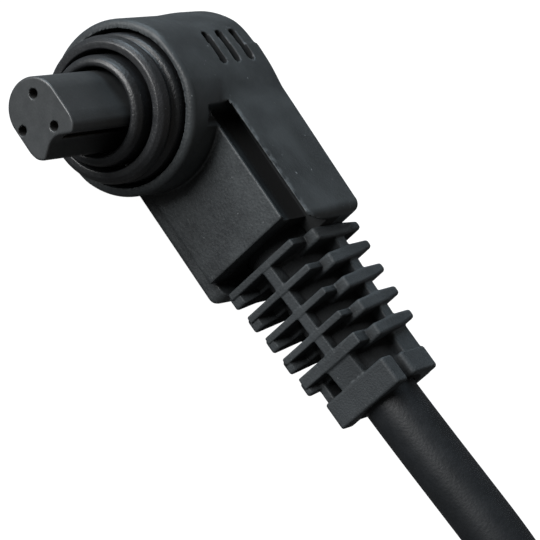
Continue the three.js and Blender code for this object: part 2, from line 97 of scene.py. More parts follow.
def make_camera():
    data = bpy.data.cameras.new("camera")
    data.lens = LENS
    data.sensor_width = 36
    data.clip_start = 0.01
    camera = bpy.data.objects.new("camera", data)
    up = CAMERA_RIGHT.cross(CAMERA_FORWARD)
    right = CAMERA_FORWARD.cross(up)
    turn = Matrix((right, up, -CAMERA_FORWARD)).transposed().to_4x4()
    camera.matrix_world = Matrix.Translation(place(CAMERA_AT)) @ turn
    bpy.context.scene.collection.objects.link(camera)
    bpy.context.scene.camera = camera


make_camera()

# ---- Materials ----


def colour_socket(sockets, name):
    """The colour socket of that name on a mix node, which has one for each type of data."""
    return next(s for s in sockets if s.name == name and s.type == "RGBA")


class Nodes:
    """A small builder for one material's node tree."""

    def __init__(self, name):
        self.material = bpy.data.materials.new(name)
        self.material.use_nodes = True
        self.tree = self.material.node_tree
        self.shader = self.tree.nodes["Principled BSDF"]
        self.position = self.add("ShaderNodeTexCoord").outputs["Object"]

    def add(self, kind, **settings):
        node = self.tree.nodes.new(kind)
        for key, value in settings.items():
            if key in node.inputs:
                node.inputs[key].default_value = value
            else:
                setattr(node, key, value)
        return node

    def link(self, a, b):
        self.tree.links.new(a, b)

    def noise(self, per_mm, detail=2.0, stretch=None):
        """A noise with so many features in a millimetre, stretched along an axis if asked."""
        node = self.add("ShaderNodeTexNoise", Scale=per_mm / MM, Detail=detail)
        source = self.position
        if stretch:
            mapping = self.add("ShaderNodeMapping")
            mapping.inputs["Scale"].default_value = stretch
            self.link(source, mapping.inputs["Vector"])
            source = mapping.outputs["Vector"]
        self.link(source, node.inputs["Vector"])
        return node.outputs["Fac"]

    def ramp(self, source, low, high, from_value=0.0, to_value=1.0):
        """A value taken from one range to another, and held at the ends of the new one."""
        node = self.add("ShaderNodeMapRange")
        limits = {"From Min": low, "From Max": high, "To Min": from_value, "To Max": to_value}
        for key, value in limits.items():
            node.inputs[key].default_value = value
        self.link(source, node.inputs["Value"])
        return node.outputs["Result"]

    def math(self, operation, a, b):
        node = self.add("ShaderNodeMath", operation=operation)
        for socket, value in zip(node.inputs, (a, b)):
            if isinstance(value, (int, float)):
                socket.default_value = value
            else:
                self.link(value, socket)
        return node.outputs[0]

    def mix(self, factor, dark, light):
        node = self.add("ShaderNodeMix", data_type="RGBA")
        self.link(factor, node.inputs["Factor"])
        for key, value in (("A", dark), ("B", light)):
            socket = colour_socket(node.inputs, key)
            if isinstance(value, tuple):
                socket.default_value = (*value, 1)
            else:
                self.link(value, socket)
        return colour_socket(node.outputs, "Result")

    def bump(self, height, distance_mm, strength=1.0):
        node = self.add("ShaderNodeBump", Strength=strength, Distance=distance_mm * MM)
        self.link(height, node.inputs["Height"])
        self.link(node.outputs["Normal"], self.shader.inputs["Normal"])

    def set(self, **sockets):
        for key, value in sockets.items():
            name = key.replace("_", " ")
            if isinstance(value, (int, float, tuple)):
                value = (*value, 1) if isinstance(value, tuple) and len(value) == 3 else value
                self.shader.inputs[name].default_value = value
            else:
                self.link(value, self.shader.inputs[name])


def plastic(
    name, dark, light, roughness, grain_mm, specks=0.0, per_mm=7.0, edge_highlight=0.0, level=0.5, front=False
):
    """Moulded plastic: fine grain, slow changes of tone, a few pale specks of dust, edges painted pale as a
    highlight, and deep corners and gaps painted dark as shade.

    With front, the grain is strong only on the faces that look along -Y."""
    n = Nodes(name)
    grain = n.noise(per_mm, 3)
    if front:
        split = n.add("ShaderNodeSeparateXYZ")
        n.link(n.add("ShaderNodeTexCoord").outputs["Normal"], split.inputs[0])
        mask = n.ramp(split.outputs["Y"], -0.6, -0.85, 0.25, 1)
        grain = n.math("ADD", n.math("MULTIPLY", n.math("SUBTRACT", grain, 0.5), mask), 0.5)
    cloud = n.noise(0.35, 3)
    tone = n.math("ADD", n.ramp(cloud, 0.35, 0.65, 0, 0.5), n.ramp(grain, 0.3, 0.7, 0, 0.5))
    colour = n.mix(tone, dark, light)
    if specks:
        dots = n.ramp(n.noise(per_mm * 0.6, 1), 0.76, 0.82, 0, specks)
        colour = n.mix(dots, colour, (0.3, 0.32, 0.33))
    # Painted highlight: edges near an outer corner are painted pale where light would catch them, broken up
    # by noise.
    if edge_highlight:
        edge = n.add("ShaderNodeAttribute", attribute_name="edge").outputs["Fac"]
        broken = n.math("MULTIPLY", edge, n.ramp(n.noise(2.2, 4), 0.4, 0.62))
        colour = n.mix(n.math("MULTIPLY", broken, edge_highlight), colour, (0.2, 0.22, 0.23))
    # Painted shade: deep corners and gaps are painted darker, where shade falls; the mesh carries how shut
    # in each point is.
    shut = n.add("ShaderNodeAttribute", attribute_name="shut").outputs["Fac"]
    colour = n.mix(n.ramp(shut, 0, 1, 0, 0.9), colour, tuple(0.25 * c for c in dark))
    rough = n.ramp(n.noise(1.6, 4), 0.3, 0.7, roughness - 0.06, roughness + 0.06)
    rough = n.math("MAXIMUM", rough, n.ramp(shut, 0, 1, 0, 0.95))
    n.set(Base_Color=colour, Roughness=rough, Specular_IOR_Level=level)
    n.bump(grain, grain_mm)
    return n.material


def metal(name, colour, roughness, stretch=(1, 1, 1)):
    """Drawn or turned metal, with fine lines along one axis."""
    n = Nodes(name)
    lines = n.noise(3.0, 3, stretch)
    tint = tuple(0.75 * c for c in colour)
    n.set(Base_Color=n.mix(n.ramp(lines, 0.3, 0.7), tint, colour), Metallic=1.0)
    n.set(Roughness=n.ramp(lines, 0.3, 0.7, roughness - 0.05, roughness + 0.1))
    n.bump(lines, 0.01)
    return n.material


def woven(name, dark, light):
    """A woven nylon strap: ribs across it and threads along it."""
    n = Nodes(name)
    wave = n.add("ShaderNodeTexWave", Scale=1.1 / MM, Distortion=0.6, bands_direction="Y")
    cross = n.add("ShaderNodeTexWave", Scale=0.8 / MM, Distortion=0.6, bands_direction="X")
    for node in (wave, cross):
        n.link(n.position, node.inputs["Vector"])
    height = n.math("MULTIPLY", wave.outputs["Fac"], cross.outputs["Fac"])
    height = n.math("ADD", height, n.ramp(n.noise(6.0, 2), 0.3, 0.7, 0, 0.35))
    n.set(Base_Color=n.mix(height, dark, light), Roughness=0.85, Sheen_Weight=0.3, Sheen_Roughness=0.4)
    n.bump(height, 0.25)
    return n.material


BODY = plastic(
    "body_plastic",
    (0.013, 0.015, 0.0165),
    (0.038, 0.043, 0.0455),
    roughness=0.48,
    grain_mm=0.035,
    specks=0.4,
    edge_highlight=0.25,
    level=0.35,
    per_mm=5.5,
    front=True,
)
NOSE = plastic("nose_plastic", (0.024, 0.026, 0.027), (0.034, 0.037, 0.039), 0.42, 0.008, edge_highlight=0.1)
RING = plastic(
    "ring_plastic", (0.008, 0.0085, 0.009), (0.019, 0.02, 0.022), 0.36, 0.03, specks=0.3, level=0.4
)
BOOT = plastic(
    "boot_rubber",
    (0.0175, 0.0205, 0.0225),
    (0.033, 0.038, 0.0415),
    roughness=0.6,
    grain_mm=0.04,
    specks=0.2,
    edge_highlight=0.25,
    level=0.3,
)
CORD = plastic(
    "cord_jacket", (0.005, 0.006, 0.007), (0.01, 0.0115, 0.0135), 0.5, 0.02, per_mm=5, level=0.3
)
SHELL = plastic("handset_plastic", (0.016, 0.017, 0.018), (0.027, 0.029, 0.03), 0.55, 0.05, per_mm=4)
KEYS = plastic("button_plastic", (0.05, 0.053, 0.056), (0.075, 0.08, 0.084), 0.42, 0.02, per_mm=5)
INSULATOR = plastic("insulator", (0.55, 0.52, 0.43), (0.68, 0.65, 0.56), 0.55, 0.02, per_mm=4)
BRASS = metal("contact_brass", (0.75, 0.55, 0.22), 0.3, (1, 8, 8))
STEEL = metal("spring_steel", (0.62, 0.64, 0.66), 0.28, (8, 8, 1))
TIE = woven("tie_nylon", (0.006, 0.006, 0.007), (0.035, 0.036, 0.04))
WIRES = [
    plastic("red_wire", (0.3, 0.02, 0.015), (0.42, 0.035, 0.025), 0.45, 0.01),
    plastic("white_wire", (0.6, 0.57, 0.52), (0.72, 0.7, 0.66), 0.45, 0.01),
    plastic("yellow_wire", (0.5, 0.3, 0.03), (0.65, 0.42, 0.06), 0.45, 0.01),
]

# ---- Cord: one curve from inside the plug through the hank to inside the handset ----
CORD_DIAMETER = 4.33
HANK_NEAR, HANK_FAR, HANK_Y = 62.0, 128.0, 6.9
FOLD_RADIUS = 10.83
LAYERS = (2.2, 6.55, 10.9, 15.25)  # heights of the runs at the folds
# Where each run passes the tie: six round one, from the hank's middle line and from the table.
WAIST = ((2.17, 3.25), (-2.17, 3.25), (4.33, 7), (-4.33, 7), (2.17, 10.75), (-2.17, 10.75), (0, 7))
PLUG_ROUTE = [
    (9, 11.3, 6.4),
    (14.9, 11.3, 6.4),
    (21, 11.42, 6.4),
    (27.4, 11.72, 6.4),
    (32, 12.14, 6.4),
    (36, 12.62, 6.38),
    (40, 13.16, 6.3),
    (43.5, 13.8, 5.95),
    (47, 14.75, 5.2),
    (50.4, 15.75, 4),
    (53.7, 16.75, 2.8),
    (57, 17.4, 2.25),
]
HANDSET_ROUTE = [
    (132, 17.7, 15.2),
    (137, 17.35, 14.8),
    (141.5, 16, 13.1),
    (145.5, 14, 10.6),
    (149.5, 11.9, 8.1),
    (153, 10.5, 6.6),
    (156.5, 9.95, 5.9),
    (160, 9.9, 5.75),
    (174.5, 9.9, 5.75),
]


def run(number):
    """One run of the hank, from fold to fold, drawn in where it passes the tie."""
    side = 1 if number % 2 == 0 else -1
    waist_y, waist_z = WAIST[number]
    haste = 2.5 if number == len(WAIST) - 1 else 1  # the last run dips between the others
    points = []
    for share in np.linspace(0.05, 0.95, 17):
        x = HANK_NEAR + (HANK_FAR - HANK_NEAR) * share
        drawn = math.sin(math.pi * share) ** 2
        y = side * FOLD_RADIUS * (1 - drawn) ** haste + waist_y * drawn
        z = LAYERS[number // 2] * (1 - drawn) + waist_z * drawn
        points.append((x, HANK_Y + y, z))
    return points if side > 0 else points[::-1]


def fold(number):
    """The half turn after one run: flat at the far end, and a layer up at the near end."""
    far = number % 2 == 0
    x, side = (HANK_FAR, 1) if far else (HANK_NEAR, -1)
    low, high = LAYERS[number // 2], LAYERS[(number + 1) // 2]
    points = []
    for angle in np.linspace(0, math.pi, 13):
        share = (1 - math.cos(angle)) / 2
        rise = share * share * (3 - 2 * share)
        y = HANK_Y + side * FOLD_RADIUS * math.cos(angle)
        points.append((x + side * FOLD_RADIUS * math.sin(angle), y, low + (high - low) * rise))
    return points


def hank_route():
    points = run(0)
    for number in range(len(WAIST) - 1):
        points += fold(number) + run(number + 1)
    return points


def smoothed(points, spacing):
    """A centripetal Catmull-Rom line through the points: evenly spaced points, and its length."""
    p = np.array(points, float)
    p = np.vstack([2 * p[0] - p[1], p, 2 * p[-1] - p[-2]])
    line = []
    for a, b, c, d in zip(p, p[1:], p[2:], p[3:]):
        knots = np.cumsum([0, *(np.linalg.norm(v) ** 0.5 for v in (b - a, c - b, d - c))])
        for t in np.linspace(knots[1], knots[2], 24, endpoint=False):
            flat = [a, b, c, d]
            for level in range(1, 4):
                for i in range(4 - level):
                    lo, hi = (knots[1], knots[2]) if level == 3 else (knots[i], knots[i + level])
                    flat[i] = flat[i] * (hi - t) / (hi - lo) + flat[i + 1] * (t - lo) / (hi - lo)
            line.append(flat[0])
    line = np.array([*line, p[-2]])
    along = np.concatenate([[0], np.cumsum(np.linalg.norm(np.diff(line, axis=0), axis=1))])
    even = np.linspace(0, along[-1], int(along[-1] / spacing) + 1)
    return np.stack([np.interp(even, along, line[:, i]) for i in range(3)], 1), along[-1]


def line_curve(name, points, diameter, material, smooth_sides=8):
    """A round bar along points of the row frame, as one open curve."""
    data = bpy.data.curves.new(name, "CURVE")
    data.dimensions = "3D"
    data.bevel_depth = diameter / 2 * MM
    data.bevel_resolution = smooth_sides
    data.use_fill_caps = True
    spline = data.splines.new("POLY")
    spline.points.add(len(points) - 1)
    spline.points.foreach_set("co", np.hstack([points, np.ones((len(points), 1))]).ravel())
    spline.use_smooth = True
    data.materials.append(material)
    return bpy.data.objects.new(name, data)


cord_line, cord_length = smoothed(PLUG_ROUTE + hank_route() + HANDSET_ROUTE, 0.8)
cord = line_curve("cord", place(cord_line), CORD_DIAMETER, CORD)
link(cord, "remote", ["cord_run_plug", "cord_hank", "cord_run_handset"])

# ---- Meshes from distance fields ----
# A field is negative inside its shape. Fields take X, Y and Z in millimetres of the piece's own frame.


def both(a, b, radius=0.0):
    """What two shapes share, with the new edge rounded."""
    if not radius:
        return np.maximum(a, b)
    outside = np.hypot(np.maximum(a + radius, 0), np.maximum(b + radius, 0))
    return np.minimum(np.maximum(a, b), -radius) + outside


def either(a, b, radius=0.0):
    """Two shapes as one, with a fillet in the new corner."""
    return -both(-a, -b, radius)


def without(a, b, radius=0.0):
    """The first shape with the second cut away."""
    return both(a, -b, radius)


def any_of(*fields):
    """Several shapes as one, with sharp corners between them."""
    return reduce(np.minimum, fields)


def all_of(*fields):
    """What several shapes share, with sharp edges."""
    return reduce(np.maximum, fields)


def slab(v, low, high):
    return np.maximum(low - v, v - high)


def block(x, y, z, xs, ys, zs, radius=0.0):
    """A box with rounded edges, from its ranges along X, Y and Z."""
    return both(both(slab(x, *xs), slab(y, *ys), radius), slab(z, *zs), radius)


ROOM_REACHES = (0.35, 0.9)  # how far outside a point other walls are looked for
EDGE_REACH = 0.15  # how far inside a point the next face is looked for


def surface(field, low, high, cell):
    """Where a field is zero: points, four-sided faces, normals, and two values for the materials."""
    low = np.array(low, float)
    count = np.ceil((np.array(high) - low) / cell).astype(int) + 1
    axes = [low[i] + cell * np.arange(count[i]) for i in range(3)]
    value = field(*np.meshgrid(*axes, indexing="ij", sparse=True))
    inside = np.broadcast_to(value < 0, count)
    near = sum(
        inside[i : count[0] - 1 + i, j : count[1] - 1 + j, k : count[2] - 1 + k].astype(np.int8)
        for i in (0, 1)
        for j in (0, 1)
        for k in (0, 1)
    )
    crossed = (near > 0) & (near < 8)
    index = np.full(near.shape, -1)
    index[crossed] = np.arange(np.count_nonzero(crossed))
    centre = low + cell * (np.argwhere(crossed) + 0.5)

    def slope(p):
        step = 0.1 * cell * np.eye(3)
        return np.stack([field(*(p + e).T) - field(*(p - e).T) for e in step], 1) / (0.2 * cell)

    point = centre.copy()
    for _ in range(5):
        g = slope(point)
        steepness = np.maximum((g * g).sum(1), 0.05)
        point -= (field(*point.T) / steepness)[:, None] * g
        point = np.clip(point, centre - 0.6 * cell, centre + 0.6 * cell)
    normal = slope(point)
    normal /= np.maximum(np.linalg.norm(normal, axis=1), 1e-9)[:, None]
    # How shut in and how near an outer edge each point is, from the field just outside and inside it. The
    # materials paint shade from the first and a highlight from the second.
    room = np.min([field(*(point + normal * reach).T) / reach for reach in ROOM_REACHES], 0)
    shut = np.clip(0.95 - 1.3 * room, 0, 1)
    edge = np.clip((field(*(point - normal * EDGE_REACH).T) / EDGE_REACH + 0.85) / 0.4, 0, 1)
    faces = []
    for a in range(3):
        b, c = (a + 1) % 3, (a + 2) % 3
        first = np.moveaxis(inside, a, 0)[:-1]
        second = np.moveaxis(inside, a, 0)[1:]
        at = np.argwhere(np.moveaxis(first != second, 0, a))
        at = at[(at[:, b] > 0) & (at[:, c] > 0) & (at[:, b] < count[b] - 1) & (at[:, c] < count[c] - 1)]
        corners = []
        for back_b, back_c in ((0, 0), (1, 0), (1, 1), (0, 1)):
            corner = at.copy()
            corner[:, b] -= back_b
            corner[:, c] -= back_c
            corners.append(index[tuple(corner.T)])
        face = np.stack(corners, 1)
        outward = inside[tuple(at.T)]
        faces.append(np.where(outward[:, None], face, face[:, ::-1]))
    return point, np.concatenate(faces), normal, {"shut": shut, "edge": edge}


def mesh_piece(name, points, faces, material, normals=None):
    data = bpy.data.meshes.new(name)
    data.from_pydata(points, [], faces)
    data.polygons.foreach_set("use_smooth", np.ones(len(faces), bool))
    if normals is not None:
        data.normals_split_custom_set_from_vertices(normals)
    data.materials.append(material)
    return bpy.data.objects.new(name, data)


def field_piece(name, field, low, high, cell, at, material, hollow=None):
    """A piece from its field. With hollow, a field of its inner part is given too, and that part is painted
    in shade.
    """
    points, faces, normals, values = surface(field, low, high, cell)
    if hollow:
        # Painted shade: the inner part is painted as dark as the most shut corners.
        values["shut"] = np.maximum(values["shut"], np.clip(-hollow(*points.T) / 0.3, 0, 1))
    piece = mesh_piece(name, place(points, at), faces.tolist(), material, normals.tolist())
    for key, value in values.items():
        attribute = piece.data.attributes.new(key, "FLOAT", "POINT")
        attribute.data.foreach_set("value", value.astype(np.float32))
    return piece


def rounded_corners(profile, radius, steps=4):
    """A closed outline with each corner turned into a small arc."""
    p = np.array(profile, float)
    out = []
    for before, corner, after in zip(np.roll(p, 1, 0), p, np.roll(p, -1, 0)):
        a, b = before - corner, after - corner
        reach_a = min(radius, 0.45 * np.linalg.norm(a)) / np.linalg.norm(a)
        reach_b = min(radius, 0.45 * np.linalg.norm(b)) / np.linalg.norm(b)
        for t in np.linspace(0, 1, steps + 1):
            out.append(corner + a * reach_a * (1 - t) ** 2 + b * reach_b * t**2)
    return np.array(out)


def lathe_piece(name, profile, axis, at, material, sides=144):
    """A ring from its outline of (radius, distance along the axis), about X or Y."""
    angle = np.linspace(0, 2 * math.pi, sides, endpoint=False)[:, None]
    radius, along = profile[:, 0], profile[:, 1] + 0 * angle
    u, v = radius * np.cos(angle), radius * np.sin(angle)
    points = np.stack([along, u, v] if axis == "X" else [v, along, u], -1).reshape(-1, 3)
    n = len(profile)
    faces = []
    for i in range(sides):
        for j in range(n):
            a, b = i * n, (i + 1) % sides * n
            faces.append((a + j, b + j, b + (j + 1) % n, a + (j + 1) % n))
    area = sum(p[0] * q[1] - q[0] * p[1] for p, q in zip(profile, np.roll(profile, -1, 0)))
    if area > 0:
        faces = [f[::-1] for f in faces]
    return mesh_piece(name, place(points, at), faces, material)


def sweep_piece(name, path, diameter, material, at, sides=12):
    """A round bar along a path, as a mesh with closed ends."""
    p = np.array(path, float)
    along = np.gradient(p, axis=0)
    along /= np.linalg.norm(along, axis=1)[:, None]
    up = np.array([0.0, 0.0, 1.0])
    points = []
    angle = np.linspace(0, 2 * math.pi, sides, endpoint=False)
    for centre, direction in zip(p, along):
        side = np.cross(direction, up)
        side /= np.linalg.norm(side)
        up = np.cross(side, direction)
        ring = np.outer(np.cos(angle), side) + np.outer(np.sin(angle), up)
        points.append(centre + ring * diameter / 2)
    faces = [tuple(range(sides))]
    for i in range(len(p) - 1):
        a, b = i * sides, (i + 1) * sides
        faces += [(a + j, b + j, b + (j + 1) % sides, a + (j + 1) % sides) for j in range(sides)]
    faces.append(tuple(range(len(p) * sides - 1, (len(p) - 1) * sides - 1, -1)))
    return mesh_piece(name, place(np.concatenate(points), at), faces, material)


# ---- Plug: body ----
BOSS_RADIUS, HEAD_RADIUS = 6.45, 6.6
BOSS_FRONT_Y, BACK_Y = 3.25, 14.2
HEAD_FLAT = 6.37  # half the width between the head's flat sides
SIDE_FRONT_Y = 7.3
COVER_FRONT_Y, COVER_BACK_Y = 6.48, 13.0
COVER_END_X, BODY_END_X = 13.35, 14.6
COVER_HALF, EDGE_HALF, HEAD_HALF = 4.1, 5.5, 6.32
GROOVE_START_X, GROOVE_FLOOR_Y = 3.86, 10.3
SLOT_YS = (8.75, 10.45, 12.2)
SLOT_X, SLOT_REACH, SLOT_RADIUS = -0.32, 1.1, 0.4
SLOT_FLOOR_Z = 5.3
WELL_RADIUS, WELL_Y = 5.75, 6.6
BORE_RADIUS, BORE_Y = 4.32, 9.5
WIRE_ROOM_RADIUS, WIRE_ROOM_Y = 3.0, 13.0
CORD_Y = 11.3
CORD_BORE_RADIUS, CORD_BORE_X = 2.95, -3.0


def plug_body(x, y, z):
    radius = np.hypot(x, z)
    side = np.abs(z)
    # The round part swells a little from its front rim to the back.
    swell = np.clip((y - 8.6) / 3.2, 0, 1)
    round_radius = BOSS_RADIUS + (HEAD_RADIUS - BOSS_RADIUS) * swell * swell * (3 - 2 * swell)
    head = both(both(radius - round_radius, BOSS_FRONT_Y - y, 0.5), y - BACK_Y, 0.5)
    head = both(head, side - HEAD_FLAT, 0.4)
    # The lower part narrows from the head to the cord end and towards its front edge.
    depth = np.clip((y - SIDE_FRONT_Y) / (BACK_Y - SIDE_FRONT_Y), 0, 1)
    half = EDGE_HALF + (HEAD_HALF - EDGE_HALF) * depth * (1 - 0.5 * np.clip(x / 13.5, 0, 1))
    lower = both(both(side - half, SIDE_FRONT_Y - y, 0.3), y - BACK_Y, 0.5)
    lower = both(both(lower, x - BODY_END_X, 0.8), -x)
    body = either(head, lower, 0.6)
    cover = both(both(side - COVER_HALF, COVER_FRONT_Y - y, 0.12), x - COVER_END_X, 0.12)
    cover = all_of(cover, -x, y - COVER_BACK_Y)
    body = either(body, cover, 0.15)
    # The groove beside the cover is undercut, so that it stays dark. A gap runs below the cover too.
    under = 0.5 * np.clip((y - 6.7) / 0.7, 0, 1)
    lip = np.where(y < SIDE_FRONT_Y, 7.0, EDGE_HALF - 0.1 - 0.2 * (y - SIDE_FRONT_Y))
    room = all_of(z - lip, y - GROOVE_FLOOR_Y, 5.2 - y)
    groove = all_of(COVER_HALF - under - z, GROOVE_START_X - x, room)
    gap = all_of(COVER_END_X - x, -COVER_HALF - z, room)
    body = without(body, any_of(groove, gap), 0.08)
    for slot_y in SLOT_YS:
        past_end = np.maximum(np.abs(x - SLOT_X) - SLOT_REACH, 0)
        slot = np.hypot(past_end, y - slot_y) - SLOT_RADIUS
        body = without(body, all_of(slot, SLOT_FLOOR_Z - z), 0.07)
    well = all_of(radius - WELL_RADIUS, y - WELL_Y)
    bore = all_of(radius - BORE_RADIUS, y - BORE_Y)
    wire_room = all_of(radius - WIRE_ROOM_RADIUS, y - WIRE_ROOM_Y)
    body = without(body, any_of(well, bore, wire_room), 0.06)
    # A known fault: this bore reaches past BACK_Y, and leaves two openings in the back wall.
    cord_bore = all_of(np.hypot(y - CORD_Y, z) - CORD_BORE_RADIUS, CORD_BORE_X - x)
    return without(body, cord_bore)


def body_painted_shade(x, y, z):
    """The walls and floor of the groove beside the cover and of the gap below it, which are painted in
    shade.
    """
    return all_of(GROOVE_START_X - x, slab(z, -COVER_HALF, 5.25), slab(y, 7.9, 12))


body = field_piece(
    "plug_shell", plug_body, (-7.1, 2.8, -6.9), (15.1, 14.7, 6.9), 0.155, PLUG_AT, BODY, body_painted_shade
)
link(body, "remote", ["plug_body"])

# ---- Plug: keyed nose with three sockets ----
NOSE_FRONT_Y, NOSE_BACK_Y = -6.07, 8.5
NOSE_RADIUS, NOSE_ROUND_X = 2.3, -0.72
NOSE_KEY_X = 2.62  # the flat end that carries the keyway
PIN_HOLE_RADIUS, SOCKET_HOLE_RADIUS = 0.35, 0.95
SOCKET_SPACING = 2.8
SOCKET_MIDDLE = (-0.2, -0.14)
SOCKETS = []
for degrees in (149, 29, -91):
    socket_reach = SOCKET_SPACING / math.sqrt(3)
    socket_x = SOCKET_MIDDLE[0] + socket_reach * math.cos(math.radians(degrees))
    socket_z = SOCKET_MIDDLE[1] + socket_reach * math.sin(math.radians(degrees))
    SOCKETS.append((socket_x, socket_z))


def nose(x, y, z):
    side = np.abs(z)
    rounded = np.hypot(x - NOSE_ROUND_X, z) - NOSE_RADIUS
    outline = np.where(x < NOSE_ROUND_X, rounded, side - NOSE_RADIUS)
    # Two slopes on each side lead to the key's flat end.
    outline = both(outline, 0.504 * x + 0.864 * side - 2.869, 0.3)
    outline = both(outline, 0.91 * x + 0.414 * side - 2.946, 0.3)
    outline = both(outline, x - NOSE_KEY_X, 0.1)
    keyway = both(1.83 - x, 1.424 - 0.872 * x + 0.493 * side, 0.15)
    outline = without(outline, keyway, 0.18)
    solid = both(both(outline, NOSE_FRONT_Y - y, 0.16), y - NOSE_BACK_Y)
    foot = all_of(np.hypot(x, z) - 4, slab(y, 8, 9.2))
    solid = any_of(solid, foot)
    for hole_x, hole_z in SOCKETS:
        reach = np.hypot(x - hole_x, z - hole_z)
        pin_hole = all_of(reach - PIN_HOLE_RADIUS, y - 2)
        socket_hole = all_of(reach - SOCKET_HOLE_RADIUS, NOSE_FRONT_Y + 1.1 - y)
        solid = without(solid, any_of(pin_hole, socket_hole), 0.05)
    return solid


keyed_nose = field_piece("keyed_nose", nose, (-4.2, -6.3, -4.2), (4.2, 9.5, 4.2), 0.11, PLUG_AT, NOSE)
link(keyed_nose, "remote", ["nose_insulator"])

# ---- Plug: the lip, the sliding sleeve and its spring ----
LIP = [(3.2, 7.6), (3.2, 0.25), (3.3, 0.04), (3.5, 0), (3.82, 0.16), (4.0, 0.6), (4.02, 7.6)]
SLEEVE = [
    (4.35, 4.3),
    (4.35, 1.5),
    (4.42, 1.12),
    (4.9, 1.12),
    (5.22, 1.4),
    (5.38, 1.95),
    (5.3, 2.12),
    (5.05, 2.2),
    (5.0, 2.68),
    (5.1, 2.82),
    (5.38, 3.0),
    (5.45, 3.3),
    (5.45, 4.3),
]
lip = lathe_piece("nose_lip", rounded_corners(LIP, 0.12), "Y", PLUG_AT, RING)
link(lip, "remote", ["collar_lip"])
sleeve = lathe_piece("sliding_sleeve", rounded_corners(SLEEVE, 0.1), "Y", PLUG_AT, RING)
link(sleeve, "lock_sleeve", ["lock_sleeve"])

SPRING_START, SPRING_END = 4.75, 6.15
SPRING_TURNS = 3
SPRING_RADIUS, SPRING_WIRE = 4.95, 0.4
coil_angle = np.linspace(0, 2 * math.pi * SPRING_TURNS, 36 * SPRING_TURNS)
coil = np.stack(
    [
        SPRING_RADIUS * np.cos(coil_angle),
        SPRING_START + (SPRING_END - SPRING_START) * coil_angle / coil_angle[-1],
        SPRING_RADIUS * np.sin(coil_angle),
    ],
    1,
)
spring = sweep_piece("sleeve_coil", coil, SPRING_WIRE, STEEL, PLUG_AT)
link(spring, "remote", ["sleeve_spring"])
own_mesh(spring)

# ---- Plug: strain-relief boot ----
# Each fin: its X, thickness and half width.
FINS = (
    (14.85, 0.56, 3.9),
    (17.0, 0.56, 3.78),
    (19.0, 0.56, 3.64),
    (21.0, 0.56, 3.54),
    (23.05, 0.95, 3.44),
)
SIDE_FIN = 1.05
WEB_START = 22.95
BAND_START, BAND_END, BAND_HALF = 25.2, 27.4, 3.05
BOOT_START, BOOT_LEAN = 14.9, 0.035


def behind_cord(x, y):
    """How far behind the boot's middle line a point is. The line leans back along the cord."""
    return y - CORD_Y - BOOT_LEAN * (x - BOOT_START)


def boot(x, y, z):
    v = behind_cord(x, y)
    side = np.abs(z)
    core_radius = np.interp(x, (BOOT_START, 16, 27), (2.85, 2.55, 2.4))
    shape = both(np.hypot(v, z) - core_radius, slab(x, 13.1, 27.0), 0.2)
    half = np.interp(x, [f[0] for f in FINS], [f[2] for f in FINS])
    for fin_x, thick, reach in FINS:
        # A thin bar across the front, thicker parts on both sides that start behind its ends, and the back.
        across = slab(z, -reach, reach - 0.8)
        front = both(both(np.abs(x - fin_x) - thick / 2, across, 0.14), slab(v, -reach, -1), 0.1)
        side_x = np.maximum(fin_x + 0.03 - 0.09 * v + np.where(z > 0, 0, 0.1), 15.08)
        blunt = np.abs(x - side_x) - SIDE_FIN / 2 + 0.2 * np.clip((v - 1.5) / 2.5, 0, 1)
        blunt = np.where(z > 0, blunt, blunt - 0.07)
        start = np.where(z > 0, -2.1, np.interp(side, (2.5, 3.1), (-2.2, 0.1 - reach)))
        flank = both(both(blunt, slab(side, 1, reach + 0.25), 0.25), slab(v, start, reach), 0.25)
        back = both(both(blunt, side - reach + 0.2, 0.2), slab(v, 1, reach), 0.2)
        shape = either(shape, any_of(front, flank, back), 0.12)
    span = slab(x, 14.7, 23.2)
    rib_front = both(both(side - 0.45, slab(v, -half + 0.04, -1), 0.12), span)
    rib_side = both(both(np.abs(v - 0.9) - 0.6, slab(side, 1, half), 0.12), both(span, 15 - x))
    rib_back = both(both(side - 0.5, slab(v, 1, half - 0.06), 0.12), both(span, 15 - x))
    shape = either(shape, any_of(rib_front, rib_side, rib_back), 0.1)
    # The end band: a plate on each face, with open corners, and a wide web that leads to it.
    web_span = slab(x, WEB_START, BAND_START + 0.3)
    web_front = np.interp(x, (WEB_START, BAND_START), (3.36, BAND_HALF))
    web = both(both(side - 1.2, slab(v, -web_front, -1), 0.15), slab(x, WEB_START, BAND_START + 0.05))
    web_side = both(both(slab(v, np.where(z > 0, 0.2, -2.5), 2.6), slab(side, 2.4, 3.1), 0.15), web_span)
    web_back = both(both(side - 0.5, slab(v, 1, 2.95), 0.15), web_span)
    along = slab(x, BAND_START, BAND_END)
    plate = both(both(side - BAND_HALF - 0.08, slab(v, -BAND_HALF, -1.6), 0.3), along, 0.2)
    cheek = both(both(slab(v, -0.4, 3.0), side - BAND_HALF - 0.1, 0.35), slab(x, BAND_START, 27.1), 0.25)
    rear = both(both(side - 2.4, slab(v, 1, BAND_HALF), 0.3), slab(x, BAND_START, 27.1), 0.15)
    shape = either(shape, any_of(plate, cheek, rear, web, web_side, web_back), 0.2)
    return without(shape, np.hypot(v, z) - CORD_DIAMETER / 2 - 0.03, 0.05)


def boot_painted_shade(x, y, z):
    """The part of the boot between its fins, near the cord and in the plug's gap, which is painted in shade.
    """
    return any_of(np.hypot(behind_cord(x, y), z) - 2.95, x - 14.45)


strain_relief = field_piece(
    "strain_relief", boot, (12.9, 6.9, -4.2), (27.8, 15.8, 4.2), 0.12, PLUG_AT, BOOT, boot_painted_shade
)
link(strain_relief, "remote", ["strain_relief_boot"])

# ---- Tie round the hank ----
TIE_X = (HANK_NEAR + HANK_FAR) / 2
tie_low, tie_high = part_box("hank_tie")
TIE_HALF_WIDTH = (tie_high.y - tie_low.y) / 2 / MM
TIE_TOP = tie_high.z / MM
TIE_THICK = 0.8


